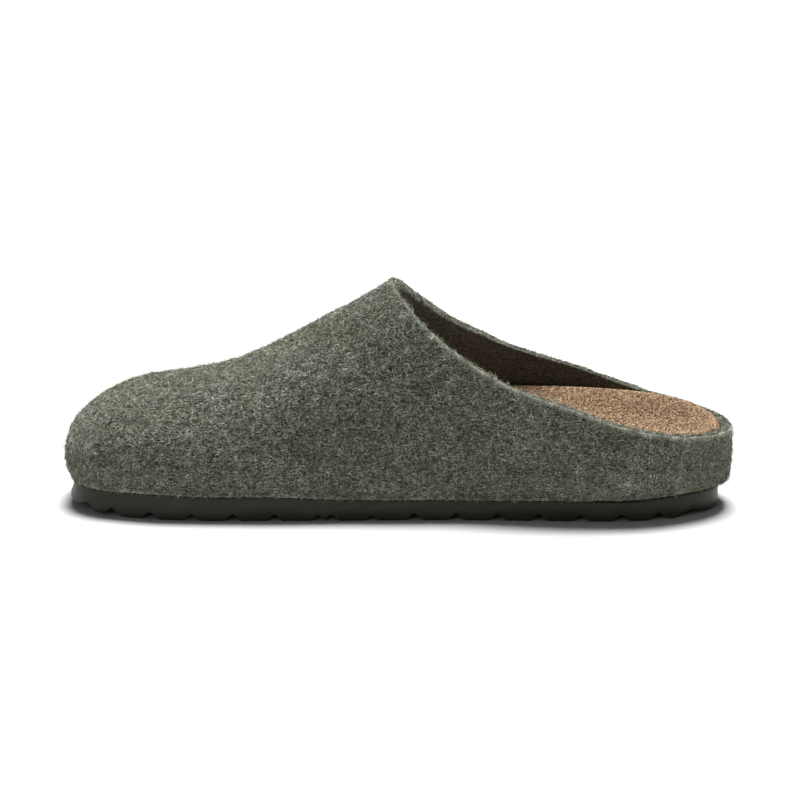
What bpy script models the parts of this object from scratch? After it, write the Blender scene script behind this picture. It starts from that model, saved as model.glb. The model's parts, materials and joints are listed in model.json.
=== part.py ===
"""A right clog slipper: a one-piece felt upper, a foam outsole and a suede-faced footbed.

The toe points along -X, the inner side of the foot faces -Y, and the sole stands on z = 0.
The upper, the footbed and the outsole all take their shape from one last: an outline at the
outsole's upper edge, a crest line over the foot, and sections that arch from one to the other.
"""

import math
from collections import namedtuple

import bmesh
import bpy
import numpy as np

# Main sizes of the last, in metres
SOLE_LENGTH = 0.2615
BALL_WIDTH = 0.0965
INSTEP_HEIGHT = 0.0829
HEEL_HEIGHT = 0.0233
WALL_BULGE = 0.0040
BULGE_RISE = 0.0055
HEEL_BULGE_RISE = 0.0020
TOE_TUCK = 0.0015

# Felt upper
FELT_THICKNESS = 0.0045
RIM_ROUNDING = 0.0006
RIM_FULLNESS = 0.8

# Foam outsole
OUTSOLE_THICKNESS = 0.0083
TOE_SPRING = 0.0030
SPRING_START = 0.83
TOE_EDGE_FLARE = 0.0013
FLARE_AT_MIDDLE = 0.10
EDGE_BEVEL = 0.0006
TOP_EDGE_ROUNDING = 0.0004
GROOVE_DEPTH = 0.0027
GROOVE_MOUTH = 0.0072
GROOVE_FLOOR = 0.0010
GROOVE_BOW = 0.0085

# Suede-faced footbed
BED_SEAT_THICKNESS = 0.0130
CUP_RIM_HEIGHT = 0.0296
BED_EDGE_ROUNDING = 0.0024
BED_EDGE_TURNS = (30, 60, 90, 120)
BED_SIDE_BLEND = 0.020
BED_REACH = 1.6
BED_TOP_TURN = math.radians(85)

# Clearance between pieces that meet, and how far a cutter runs past what it cuts
JOINT_GAP = 0.0003
CUT_MARGIN = 0.0040

# The crest runs between these shares of the length, and the ends of the shoe fan out from them
HEEL_FAN = 0.13
TOE_FAN = 0.85
FAN_BLEND = 0.05

# Mesh counts: columns along each side and rows up the wall
REAR_COLUMNS = 24
FORE_COLUMNS = 22
COLLAR_CROWDING = 0.35
WALL_ROWS = 12
WALL_SPACING = 1.5
RIM_STEPS = 6
BED_WALL_ROWS = 6
BED_TOP_ROWS = 7
CUTTER_STEPS = 8
COLLAR_SAMPLES = 600
MERGE_DISTANCE = 2e-6

# Small steps over which slopes are taken: of the length, of a ring or turn, and along the edge
ALONG_STEP = 1e-4
RING_STEP = 2e-3
EDGE_STEP = 1e-5
SHARP_ANGLE = math.radians(40)

INNER, OUTER = -1, 1

# Outline of the outsole's upper edge. along: share of the sole's length from the heel.
# inner, outer: distance from the axis to each edge, in ball widths. bulge: how far the felt swells
# out over the edge, in wall bulges. sole: height of the outsole's side, in outsole thicknesses.
Edge = namedtuple("Edge", "along inner outer bulge sole")
OUTLINE = (
    Edge(0.000, 0.000, 0.000, 1.28, 0.990),
    Edge(0.018, 0.150, 0.152, 1.33, 1.075),
    Edge(0.060, 0.250, 0.258, 1.43, 1.120),
    Edge(0.120, 0.315, 0.325, 1.56, 0.980),
    Edge(0.200, 0.342, 0.360, 1.38, 0.985),
    Edge(0.300, 0.355, 0.380, 1.00, 0.980),
    Edge(0.400, 0.370, 0.402, 0.80, 0.990),
    Edge(0.500, 0.397, 0.440, 0.70, 1.000),
    Edge(0.600, 0.428, 0.492, 0.65, 1.070),
    Edge(0.690, 0.452, 0.528, 0.62, 1.175),
    Edge(0.770, 0.470, 0.530, 0.60, 1.160),
    Edge(0.850, 0.466, 0.480, 0.60, 1.225),
    Edge(0.915, 0.440, 0.385, 0.62, 1.130),
    Edge(0.958, 0.395, 0.280, 0.66, 1.010),
    Edge(0.985, 0.320, 0.132, 0.72, 0.950),
    Edge(1.000, 0.188, -0.188, 0.76, 0.930),
)

# Crest of the last over the foot. side: offset towards the inner side, in ball widths.
# rise: height above the outsole, in instep heights; behind the throat the crest is only a guide
# for the wall below the collar. fullness: the section's exponent, where 2 is an ellipse.
Crest = namedtuple("Crest", "along side rise fullness")
CREST = (
    Crest(0.130, 0.010, 2.300, 2.50),
    Crest(0.250, 0.025, 1.740, 2.38),
    Crest(0.300, 0.035, 1.477, 2.12),
    Crest(0.350, 0.036, 1.275, 1.80),
    Crest(0.400, 0.043, 1.145, 1.60),
    Crest(0.450, 0.049, 1.065, 1.56),
    Crest(0.505, 0.056, 1.000, 1.63),
    Crest(0.535, 0.060, 0.934, 1.70),
    Crest(0.570, 0.063, 0.871, 1.77),
    Crest(0.640, 0.070, 0.744, 1.93),
    Crest(0.700, 0.070, 0.635, 2.08),
    Crest(0.760, 0.070, 0.552, 2.22),
    Crest(0.810, 0.072, 0.511, 2.34),
    Crest(0.850, 0.075, 0.489, 2.46),
)

# Collar in side view: share of the way up from the heel's rim to the throat.
Collar = namedtuple("Collar", "along climb")
COLLAR = (
    Collar(-0.030, 0.000),
    Collar(0.030, 0.028),
    Collar(0.090, 0.070),
    Collar(0.150, 0.134),
    Collar(0.220, 0.240),
    Collar(0.290, 0.332),
    Collar(0.350, 0.437),
    Collar(0.400, 0.566),
    Collar(0.440, 0.698),
    Collar(0.475, 0.843),
    Collar(0.505, 1.000),
    Collar(0.540, 1.230),
)

# Footbed heights above the outsole. floor: in seat thicknesses, along the middle.
# inner_rim, outer_rim: in cup rim heights. cup: how sharply the sides turn up.
Bed = namedtuple("Bed", "along floor inner_rim outer_rim cup")
BED = (
    Bed(-0.020, 0.98, 0.800, 0.800, 3.0),
    Bed(0.060, 0.98, 0.868, 0.925, 3.0),
    Bed(0.130, 1.00, 0.972, 0.985, 2.9),
    Bed(0.240, 1.02, 1.050, 1.020, 2.7),
    Bed(0.340, 1.02, 1.080, 1.020, 2.4),
    Bed(0.440, 0.95, 1.030, 0.920, 2.2),
    Bed(0.540, 0.79, 0.740, 0.640, 2.4),
    Bed(0.640, 0.64, 0.440, 0.420, 3.0),
    Bed(0.720, 0.55, 0.340, 0.340, 3.4),
    Bed(0.790, 0.57, 0.325, 0.325, 3.4),
    Bed(0.860, 0.52, 0.315, 0.315, 3.4),
    Bed(1.020, 0.52, 0.315, 0.315, 3.4),
)

# Cross grooves of the tread. along: where each meets the sole's edges.
# bow: which way its middle swings, +1 to the toe or -1 to the heel. depth: in groove depths.
Groove = namedtuple("Groove", "along bow depth")
GROOVES = (
    Groove(0.044, -1, 0.95),
    Groove(0.091, -1, 1.00),
    Groove(0.147, -1, 1.00),
    Groove(0.208, -1, 1.00),
    Groove(0.271, -1, 1.00),
    Groove(0.333, -1, 1.00),
    Groove(0.396, -1, 1.00),
    Groove(0.459, -1, 1.00),
    Groove(0.524, -1, 0.70),
    Groove(0.584, -1, 0.90),
    Groove(0.604, 1, 0.90),
    Groove(0.669, 1, 1.00),
    Groove(0.732, 1, 1.00),
    Groove(0.795, 1, 1.00),
    Groove(0.859, 1, 1.00),
    Groove(0.919, 1, 0.95),
    Groove(0.961, 1, 0.85),
)

FELT_GREEN = (0.088, 0.095, 0.068)
FOAM_GREEN = (0.026, 0.030, 0.022)
SUEDE_TAN = (0.400, 0.255, 0.155)


def column(table, name):
    """One named column of a table, as an array."""
    return np.array([getattr(row, name) for row in table])


def spline_value(knots, values, bends, at):
    """Cubic spline read at a place, from its knots, values and second derivatives."""
    i = np.clip(np.searchsorted(knots, at, side="right") - 1, 0, len(knots) - 2)
    step = knots[i + 1] - knots[i]
    right = (at - knots[i]) / step
    left = 1 - right
    line = left * values[i] + right * values[i + 1]
    bend = (left**3 - left) * bends[i] + (right**3 - right) * bends[i + 1]
    return line + bend * step**2 / 6


def through(table, name):
    """A smooth function of `along` that passes through a table's column."""
    knots, values = column(table, "along"), column(table, name)
    step, count = np.diff(knots), len(knots)
    matrix, right = np.eye(count), np.zeros(count)
    for i in range(1, count - 1):
        matrix[i, i - 1 : i + 2] = step[i - 1], 2 * (step[i - 1] + step[i]), step[i]
        right[i] = 6 * ((values[i + 1] - values[i]) / step[i] - (values[i] - values[i - 1]) / step[i - 1])
    bends = np.linalg.solve(matrix, right)
    return lambda along: spline_value(knots, values, bends, np.clip(along, knots[0], knots[-1]))


class ClosedCurve:
    """A smooth closed curve through points, with its knots at the chord lengths."""

    def __init__(self, points):
        count = len(points)
        step = np.linalg.norm(np.roll(points, -1, axis=0) - points, axis=1)
        slope = (np.roll(points, -1, axis=0) - points) / step[:, None]
        matrix = np.zeros((count, count))
        for i in range(count):
            matrix[i, i - 1] += step[i - 1]
            matrix[i, i] += 2 * (step[i - 1] + step[i])
            matrix[i, (i + 1) % count] += step[i]
        bends = np.linalg.solve(matrix, 6 * (slope - np.roll(slope, 1, axis=0)))
        self.knots = np.concatenate([[0.0], np.cumsum(step)])
        self.points = np.vstack([points, points[:1]])
        self.bends = np.vstack([bends, bends[:1]])

    def at(self, place):
        place = np.mod(place, self.knots[-1])
        return np.stack(
            [spline_value(self.knots, self.points[:, k], self.bends[:, k], place) for k in (0, 1)], axis=-1
        )


class Outline:
    """The last's edge on the outsole, read by ring: 0 at the heel, up the outer side to 1 at the toe,
    and back down the inner side to 2. A ring and 2 minus that ring lie opposite each other."""

    SAMPLES = 1500

    def __init__(self):
        along = column(OUTLINE, "along") * SOLE_LENGTH
        outer = np.stack([along, column(OUTLINE, "outer") * BALL_WIDTH], axis=1)
        inner = np.stack([along, -column(OUTLINE, "inner") * BALL_WIDTH], axis=1)
        self.curve = ClosedCurve(np.vstack([outer, inner[-2:0:-1]]))
        toe, end = self.curve.knots[len(OUTLINE) - 1], self.curve.knots[-1]
        self.places, self.rings = [], []
        for first, start, stop in ((0.0, 0.0, toe), (1.0, toe, end)):
            places = np.linspace(start, stop, self.SAMPLES)
            steps = np.linalg.norm(np.diff(self.curve.at(places), axis=0), axis=1)
            length = np.concatenate([[0.0], np.cumsum(steps)])
            self.places.extend(places)
            self.rings.extend(first + length / length[-1])

    def place(self, ring):
        return np.interp(np.mod(ring, 2.0), self.rings, self.places)

    def point(self, ring):
        """(distance from the heel, distance from the axis) of the edge."""
        return self.curve.at(self.place(ring))

    def normal(self, ring):
        """The edge's outward direction, in the plane of the sole."""
        place = self.place(ring)
        run = self.curve.at(place + EDGE_STEP) - self.curve.at(place - EDGE_STEP)
        run = run / np.linalg.norm(run, axis=-1, keepdims=True)
        return np.stack([-run[..., 1], run[..., 0]], axis=-1)

    def half_width(self, along, side):
        """Distance from the axis to one side's edge at a share of the length."""
        rings = np.linspace(0.0, 1.0, self.SAMPLES)
        points = self.point(rings if side == OUTER else 2.0 - rings)
        return float(np.interp(along * SOLE_LENGTH, points[:, 0], np.abs(points[:, 1])))


edge = Outline()
bulge_share, sole_height = through(OUTLINE, "bulge"), through(OUTLINE, "sole")
crest_side, crest_rise, crest_fullness = (through(CREST, name) for name in ("side", "rise", "fullness"))
collar_climb = through(COLLAR, "climb")
bed_floor, bed_cup = through(BED, "floor"), through(BED, "cup")
bed_inner_rim, bed_outer_rim = through(BED, "inner_rim"), through(BED, "outer_rim")


def sole_bottom(along):
    """Height of the tread, which is flat up to where the toe springs."""
    return TOE_SPRING * (np.clip(along - SPRING_START, 0, None) / (1 - SPRING_START)) ** 2


def sole_top(along):
    return sole_bottom(along) + OUTSOLE_THICKNESS * sole_height(along)


def crest_along(along):
    """Where a section's crest lies: level with its edge, but held back at the two fans."""
    near_toe = np.clip(along - (TOE_FAN - FAN_BLEND), 0, 2 * FAN_BLEND)
    near_heel = np.clip(HEEL_FAN + FAN_BLEND - along, 0, 2 * FAN_BLEND)
    held = np.clip(along, HEEL_FAN - FAN_BLEND, TOE_FAN + FAN_BLEND)
    return held - near_toe**2 / (4 * FAN_BLEND) + near_heel**2 / (4 * FAN_BLEND)


def toe_share(along):
    """0 behind the toe's fan, rising to 1 at its tip."""
    return np.clip((along - TOE_FAN) / (1 - TOE_FAN), 0, 1) ** 2


def toe_tuck(along):
    """How far the felt's foot and the outsole's top edge draw back under the toe."""
    return TOE_TUCK * toe_share(along)


def bulge_rise(along):
    """Height over which the felt swells out, which is short round the heel."""
    return HEEL_BULGE_RISE + (BULGE_RISE - HEEL_BULGE_RISE) * np.clip(along / HEEL_FAN, 0, 1)


def section_crest(ring):
    """Where the crest of a ring's section lies, shared with the ring opposite."""
    return crest_along((edge.point(ring)[..., 0] + edge.point(2.0 - ring)[..., 0]) / 2 / SOLE_LENGTH)


def last_surface(ring, turn):
    """The felt's outer surface. turn: 0 at the outsole's edge to a quarter turn at the crest."""
    foot, out, at = edge.point(ring), edge.normal(ring), section_crest(ring)
    along = foot[..., 0] / SOLE_LENGTH
    foot = foot - toe_tuck(along)[..., None] * out
    slope = (crest_rise(at + ALONG_STEP) - crest_rise(at - ALONG_STEP)) / (2 * ALONG_STEP)
    slope = slope * INSTEP_HEIGHT / SOLE_LENGTH
    power = 2 / crest_fullness(at)
    across = np.clip(np.cos(turn), 0, 1) ** power
    up = np.clip(np.sin(turn), 0, 1) ** power
    base = sole_top(along) + JOINT_GAP
    top = OUTSOLE_THICKNESS + crest_rise(at) * INSTEP_HEIGHT
    ahead = foot[..., 0] - at * SOLE_LENGTH
    aside = foot[..., 1] + crest_side(at) * BALL_WIDTH
    z = base + (top - base) * up + slope * ahead * across * up**2
    swell = WALL_BULGE * bulge_share(along) + toe_tuck(along)
    bulge = swell * (1 - np.exp(-(z - base) / bulge_rise(along))) * across
    x = at * SOLE_LENGTH + ahead * across + bulge * out[..., 0]
    y = -crest_side(at) * BALL_WIDTH + aside * across + bulge * out[..., 1]
    return np.stack([x, y, z], axis=-1)


def last_normal(ring, turn):
    """Outward normal of the felt's outer surface."""
    turn = np.clip(turn, RING_STEP, math.pi / 2 - 8 * RING_STEP)
    forward = last_surface(ring + RING_STEP, turn) - last_surface(ring - RING_STEP, turn)
    upward = last_surface(ring, turn + RING_STEP) - last_surface(ring, turn - RING_STEP)
    return unit(np.cross(upward, forward))


def unit(vectors):
    return vectors / np.linalg.norm(vectors, axis=-1, keepdims=True)


def solve(test, low, high, rounds=48):
    """Where a rising function of an array crosses zero, by halving the interval."""
    for _ in range(rounds):
        middle = (low + high) / 2
        below = test(middle) < 0
        low, high = np.where(below, middle, low), np.where(below, high, middle)
    return (low + high) / 2


def above_collar(ring, turn):
    """Height of a point of the last over the collar, which is one curve in side view."""
    point = last_surface(ring, turn)
    low, high = OUTSOLE_THICKNESS + HEEL_HEIGHT, OUTSOLE_THICKNESS + INSTEP_HEIGHT
    return point[..., 2] - low - (high - low) * collar_climb(point[..., 0] / SOLE_LENGTH)


class Columns:
    """Lines up the wall, all round the last: behind the throat they end at the collar, crowded where
    it bends most, and ahead of the throat at the crest, where opposite columns meet."""

    def __init__(self):
        quarter = np.array(math.pi / 2)
        throat = float(solve(lambda ring: -above_collar(ring, quarter), np.array(0.3), np.array(0.8)))
        foot = np.concatenate([
            np.linspace(0, throat, REAR_COLUMNS + 1),
            np.linspace(throat, 1, FORE_COLUMNS + 1)[1:],
        ])
        outer = self.side(foot, throat, lambda ring: ring)
        inner = self.side(foot, throat, lambda ring: 2.0 - ring)
        self.foot, self.top, self.turn = (np.concatenate([a, b[-2:0:-1]]) for a, b in zip(outer, inner))
        count = len(self.foot)
        self.opposite = (count - np.arange(count)) % count
        self.collar = np.arange(-REAR_COLUMNS, REAR_COLUMNS + 1) % count
        self.crest = np.arange(REAR_COLUMNS, count - REAR_COLUMNS + 1)

    def side(self, foot, throat, ring):
        """Foot rings, top rings and turns of one side's columns, from heel to toe."""
        dense = throat * (1 - np.linspace(1, 0, COLLAR_SAMPLES) ** 3)
        limit = np.full(COLLAR_SAMPLES, math.pi / 2)
        turns = solve(lambda turn: above_collar(ring(dense), turn), 0 * limit, limit)
        turns[-1] = limit[-1]
        steps = np.linalg.norm(np.diff(last_surface(ring(dense), turns), axis=0), axis=1)
        length = np.concatenate([[0.0], np.cumsum(steps)])
        share = np.linspace(0, 1, REAR_COLUMNS + 1)
        wanted = length[-1] * (share - COLLAR_CROWDING * np.sin(2 * math.pi * share) / (2 * math.pi))
        top = np.concatenate([np.interp(wanted, length, dense), foot[REAR_COLUMNS + 1 :]])
        turn = np.concatenate([np.interp(wanted, length, turns), np.full(FORE_COLUMNS, limit[-1])])
        return ring(foot), ring(top), turn

    def line(self, share):
        """(ring, turn) a share of the way up each column."""
        away = np.mod(self.top - self.foot + 1, 2) - 1
        return self.foot + away * share, self.turn * share

    def outside(self, share):
        return last_surface(*self.line(share))

    def inside(self, share, distance):
        """Points under the felt's outer surface by a distance, a share of the way up."""
        ring, turn = self.line(share)
        points = last_surface(ring, turn) - distance * last_normal(ring, turn)
        if np.ndim(share) == 0 and share == 1:
            points[self.crest] = (points[self.crest] + points[self.opposite][self.crest]) / 2
        return points

    def base(self, distance):
        """The lowest points, level with the outsole, in from its edge by a distance."""
        points = last_surface(self.foot, np.zeros_like(self.foot))
        points[:, :2] -= distance * edge.normal(self.foot)
        points[:, 2] = sole_top(points[:, 0] / SOLE_LENGTH) + JOINT_GAP
        return points


def wall_shares(rows):
    """Heights of a wall's rows, closer together low down where the wall bulges."""
    return (np.arange(rows + 1) / rows) ** WALL_SPACING


def ladder(columns, row):
    """Two rows that face each other across the shoe, from the heel to the toe."""
    half = len(row) // 2 + 1
    return [row[:half], row[columns.opposite[:half]]]


def solid(name, loops=(), strips=()):
    """A closed mesh from stacks of closed loops and open strips. Along its own axis the last runs
    from heel to toe, and here the toe points along -X."""
    mesh = bmesh.new()
    for stack, wrap in [(stack, 0) for stack in loops] + [(stack, 1) for stack in strips]:
        grid = [[mesh.verts.new((-p[0], p[1], p[2])) for p in row] for row in stack]
        for low, high in zip(grid, grid[1:]):
            for i in range(len(low) - wrap):
                j = (i + 1) % len(low)
                mesh.faces.new((low[i], low[j], high[j], high[i]))
    bmesh.ops.remove_doubles(mesh, verts=mesh.verts, dist=MERGE_DISTANCE)
    bmesh.ops.dissolve_degenerate(mesh, edges=mesh.edges, dist=MERGE_DISTANCE)
    bmesh.ops.recalc_face_normals(mesh, faces=mesh.faces)
    return link(name, mesh)


def link(name, mesh):
    """A scene object from a bmesh."""
    data = bpy.data.meshes.new(name)
    mesh.to_mesh(data)
    mesh.free()
    data.shade_smooth()
    data.set_sharp_from_angle(angle=SHARP_ANGLE)
    thing = bpy.data.objects.new(name, data)
    bpy.context.scene.collection.objects.link(thing)
    return thing


def build_upper(columns):
    """The felt upper as one hollow solid, open at the collar and underneath."""
    shares = wall_shares(WALL_ROWS)
    outer = [columns.outside(share) for share in shares]
    inner = [columns.inside(share, FELT_THICKNESS) for share in shares[1:]]
    inner.insert(0, columns.base(FELT_THICKNESS))

    near, far = outer[-1][columns.collar], inner[-1][columns.collar]
    run = np.roll(near, -1, axis=0) - np.roll(near, 1, axis=0)
    run[0] = run[-1] = near[1] - near[-2]
    away = unit(np.cross(far - near, run))
    rim = [near]
    for step in range(1, RIM_STEPS):
        angle = math.pi * step / RIM_STEPS
        share = (1 - math.cos(angle)) / 2
        rim.append(near + (far - near) * share + away * RIM_ROUNDING * math.sin(angle) ** RIM_FULLNESS)
    return solid("upper", [outer, inner, [outer[0], inner[0]]], [rim + [far]])


def build_footbed(columns):
    """The contoured footbed, filling the upper's floor up to the cup's rim."""
    distance = FELT_THICKNESS + JOINT_GAP
    base = columns.base(distance)
    along = base[:, 0] / SOLE_LENGTH
    outer = np.clip(0.5 + base[:, 1] / BED_SIDE_BLEND, 0, 1)
    rim = outer * bed_outer_rim(along) + (1 - outer) * bed_inner_rim(along)
    rim = OUTSOLE_THICKNESS + JOINT_GAP + CUP_RIM_HEIGHT * rim
    limit = np.minimum(BED_REACH, BED_TOP_TURN / columns.turn)
    lip_share = solve(
        lambda v: columns.inside(v, distance)[:, 2] - rim + BED_EDGE_ROUNDING, 0 * limit, limit
    )
    wall = [base]
    wall += [columns.inside(lip_share * v, distance) for v in wall_shares(BED_WALL_ROWS)[1:]]

    at = section_crest(columns.foot)
    floor = OUTSOLE_THICKNESS + JOINT_GAP + BED_SEAT_THICKNESS * bed_floor(at)
    spine = np.stack([at * SOLE_LENGTH, -crest_side(at) * BALL_WIDTH, floor], axis=1)
    lip, reach = wall[-1], np.linalg.norm((wall[-1] - spine)[:, :2], axis=1)
    top = [lip]
    for turn in np.radians(BED_EDGE_TURNS):
        inset = BED_EDGE_ROUNDING * (1 - math.cos(turn)) / reach
        point = lip + (spine - lip) * inset[:, None]
        point[:, 2] = lip[:, 2] + BED_EDGE_ROUNDING * math.sin(turn)
        top.append(point)
    bowl_edge = top[-1]
    for row in range(1, BED_TOP_ROWS):
        share = 1 - row / BED_TOP_ROWS
        point = spine + (bowl_edge - spine) * share
        point[:, 2] = spine[:, 2] + (bowl_edge - spine)[:, 2] * share ** bed_cup(along)
        top.append(point)
    return solid("footbed", [wall, top + [spine]], [ladder(columns, base)])


def edge_row(columns, inset, height):
    """The outsole's edge, in from the last's edge, at a height that follows its length."""
    points = edge.point(columns.foot)
    inset = inset + toe_tuck(points[:, 0] / SOLE_LENGTH)
    points = points - inset[:, None] * edge.normal(columns.foot)
    return np.column_stack([points, height(points[:, 0] / SOLE_LENGTH)])


def build_outsole(columns):
    """The foam outsole, with its cross grooves cut."""
    flare = TOE_EDGE_FLARE * toe_share(edge.point(columns.foot)[:, 0] / SOLE_LENGTH)
    rows = [
        edge_row(columns, TOP_EDGE_ROUNDING, sole_top),
        edge_row(columns, 0.0, lambda a: sole_top(a) - TOP_EDGE_ROUNDING),
        edge_row(columns, -FLARE_AT_MIDDLE * flare, lambda a: (sole_top(a) + sole_bottom(a)) / 2),
        edge_row(columns, -flare, lambda a: sole_bottom(a) + EDGE_BEVEL),
        edge_row(columns, EDGE_BEVEL - flare, sole_bottom),
    ]
    sole = solid("outsole", [rows], [ladder(columns, rows[0]), ladder(columns, rows[-1])])
    for number, groove in enumerate(GROOVES):
        cut = sole.modifiers.new(f"groove_{number}", "BOOLEAN")
        cut.operation = "DIFFERENCE"
        cut.solver = "EXACT"
        cut.object = groove_cutter(f"groove_cutter_{number}", groove)
    return sole


def groove_cutter(name, groove):
    """A bowed bar of trapezoid section that cuts one cross groove."""
    depth = GROOVE_DEPTH * groove.depth
    flank = (GROOVE_MOUTH - GROOVE_FLOOR) / 2 / GROOVE_DEPTH
    half_floor = GROOVE_FLOOR / 2
    half_mouth = half_floor + flank * (depth + CUT_MARGIN)
    section = (
        (-half_mouth, -CUT_MARGIN),
        (-half_floor, depth),
        (half_floor, depth),
        (half_mouth, -CUT_MARGIN),
    )
    widths = {side: edge.half_width(groove.along, side) for side in (INNER, OUTER)}
    rows = []
    for step in range(-CUTTER_STEPS, CUTTER_STEPS + 1):
        width = widths[OUTER if step > 0 else INNER]
        y = step / CUTTER_STEPS * (width + CUT_MARGIN)
        x = groove.along * SOLE_LENGTH + groove.bow * GROOVE_BOW * (1 - (y / width) ** 2)
        rows.append([(x + a, y, sole_bottom(x / SOLE_LENGTH) + z) for a, z in section])
    mesh = bmesh.new()
    grid = [[mesh.verts.new((-x, y, z)) for x, y, z in row] for row in rows]
    for near, far in zip(grid, grid[1:]):
        for i in range(len(section)):
            j = (i + 1) % len(section)
            mesh.faces.new((near[i], near[j], far[j], far[i]))
    mesh.faces.new(grid[0])
    mesh.faces.new(grid[-1])
    bmesh.ops.recalc_face_normals(mesh, faces=mesh.faces)
    cutter = link(name, mesh)
    cutter.hide_render = True
    cutter.display_type = "WIRE"
    return cutter


def material(name, colour, roughness):
    """A plain finish in the piece's own colour."""
    finish = bpy.data.materials.new(name)
    finish.use_nodes = True
    shader = finish.node_tree.nodes["Principled BSDF"]
    shader.inputs["Base Color"].default_value = (*colour, 1.0)
    shader.inputs["Roughness"].default_value = roughness
    shader.inputs["Metallic"].default_value = 0.0
    return finish


def centre_on_floor(pieces):
    """Moves every mesh so that the shoe's box is centred over the origin."""
    points = np.array([v.co for piece in pieces for v in piece.data.vertices])
    middle = (points.min(axis=0) + points.max(axis=0)) / 2
    for thing in bpy.data.objects:
        if thing.type == "MESH":
            for vertex in thing.data.vertices:
                vertex.co.x -= middle[0]
                vertex.co.y -= middle[1]


def main():
    for thing in list(bpy.data.objects):
        bpy.data.objects.remove(thing)
    columns = Columns()
    upper, footbed, outsole = build_upper(columns), build_footbed(columns), build_outsole(columns)
    upper.data.materials.append(material("felt", FELT_GREEN, 0.95))
    footbed.data.materials.append(material("suede", SUEDE_TAN, 0.90))
    outsole.data.materials.append(material("foam", FOAM_GREEN, 0.65))
    centre_on_floor((upper, footbed, outsole))


main()
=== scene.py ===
# %% [markdown]
# # A felt clog slipper, one step at a time
#
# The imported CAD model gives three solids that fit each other: a felt upper, a suede-faced footbed and
# a foam outsole. They have the right shape, but each is plain. Here every one of them gets the
# surface of the real thing: matted wool with loose fibres, brushed suede and dense moulded foam.

# %% Load the frame
import json
import math

import bmesh
import bpy
import numpy as np
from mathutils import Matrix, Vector, noise
from mathutils.bvhtree import BVHTree
from mathutils.kdtree import KDTree

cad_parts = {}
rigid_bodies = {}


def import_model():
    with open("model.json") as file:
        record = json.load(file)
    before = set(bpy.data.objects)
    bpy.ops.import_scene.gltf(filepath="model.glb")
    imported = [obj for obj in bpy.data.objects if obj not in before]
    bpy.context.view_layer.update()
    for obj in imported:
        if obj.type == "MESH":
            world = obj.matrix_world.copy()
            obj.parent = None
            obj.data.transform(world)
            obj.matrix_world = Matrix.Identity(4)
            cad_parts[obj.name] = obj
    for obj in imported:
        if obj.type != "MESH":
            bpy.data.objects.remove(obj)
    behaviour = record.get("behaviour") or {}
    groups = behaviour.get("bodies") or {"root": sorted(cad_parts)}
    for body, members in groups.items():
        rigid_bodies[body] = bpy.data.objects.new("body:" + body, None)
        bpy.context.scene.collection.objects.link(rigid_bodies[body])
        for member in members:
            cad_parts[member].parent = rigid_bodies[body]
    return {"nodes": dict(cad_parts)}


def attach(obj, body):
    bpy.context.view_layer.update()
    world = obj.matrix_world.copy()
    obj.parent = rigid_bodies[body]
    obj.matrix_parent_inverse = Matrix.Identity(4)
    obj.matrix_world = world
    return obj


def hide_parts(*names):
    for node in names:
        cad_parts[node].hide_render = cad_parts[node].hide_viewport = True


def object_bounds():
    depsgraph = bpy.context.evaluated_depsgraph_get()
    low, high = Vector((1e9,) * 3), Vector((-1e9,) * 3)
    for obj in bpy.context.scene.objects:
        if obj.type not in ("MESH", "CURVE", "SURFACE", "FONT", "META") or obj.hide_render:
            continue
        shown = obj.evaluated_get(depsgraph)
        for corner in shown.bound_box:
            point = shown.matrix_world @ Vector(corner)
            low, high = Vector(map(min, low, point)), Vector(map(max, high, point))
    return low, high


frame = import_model()
cad_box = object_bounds()
SHOE_LOW, SHOE_HIGH = (np.array(corner, dtype=float) for corner in cad_box)
SHOE_SIZE = SHOE_HIGH - SHOE_LOW
print("shoe, mm:", np.round(SHOE_SIZE * 1000, 1), "nodes:", list(frame["nodes"]))

# %% [markdown]
# ## Camera
#
# A product photograph is taken from far away with a long lens, so that the toe and the heel look
# equally large. The camera is placed by two angles and a distance around a point inside the shoe, which
# is easier to correct than a place in space. The lamps are turned to the same point, and nothing else
# in the scene depends on it.

# %% Camera
CAMERA_AZIMUTH = math.radians(5.0)
CAMERA_ELEVATION = math.radians(14.0)
CAMERA_DISTANCE = 1.2
CAMERA_AIM = Vector((0.0, 0.0, 0.0390))
PICTURE_WIDTH = 0.3248
SENSOR = 36.0

away = Vector((
    math.sin(CAMERA_AZIMUTH) * math.cos(CAMERA_ELEVATION),
    -math.cos(CAMERA_AZIMUTH) * math.cos(CAMERA_ELEVATION),
    math.sin(CAMERA_ELEVATION),
))
lens = bpy.data.cameras.new("camera")
lens.sensor_width = SENSOR
lens.lens = SENSOR * CAMERA_DISTANCE / PICTURE_WIDTH
lens.clip_end = 50.0
camera = bpy.data.objects.new("camera", lens)
camera.location = CAMERA_AIM + away * CAMERA_DISTANCE
camera.rotation_euler = away.to_track_quat("Z", "Y").to_euler()
bpy.context.scene.collection.objects.link(camera)
bpy.context.scene.camera = camera
print("lens, mm:", round(lens.lens, 1))

# %% [markdown]
# ## Floor and light
#
# The slipper stands on white paper in front of white walls. A wide lamp hangs overhead and behind, so
# that the toe and instep are lighter than the side wall, and a short dark shadow falls forward from
# under the sole. It is a sun lamp with a large angle, because its light is the same all over the floor,
# which stays evenly white and sends much of it back up to the side of the shoe. A weak lamp in front
# lifts the darkest places. The walls are the world colour: white to look at, but weak as a light, or
# they would wash the shadow out.

# %% Paper floor
FLOOR_HALF = 4.0
FLOOR_DROP = 0.0001
PAPER_WHITE = 0.70


def new_object(name, mesh):
    """Puts a mesh in the scene, at the origin."""
    thing = bpy.data.objects.new(name, mesh)
    bpy.context.scene.collection.objects.link(thing)
    return thing


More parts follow.
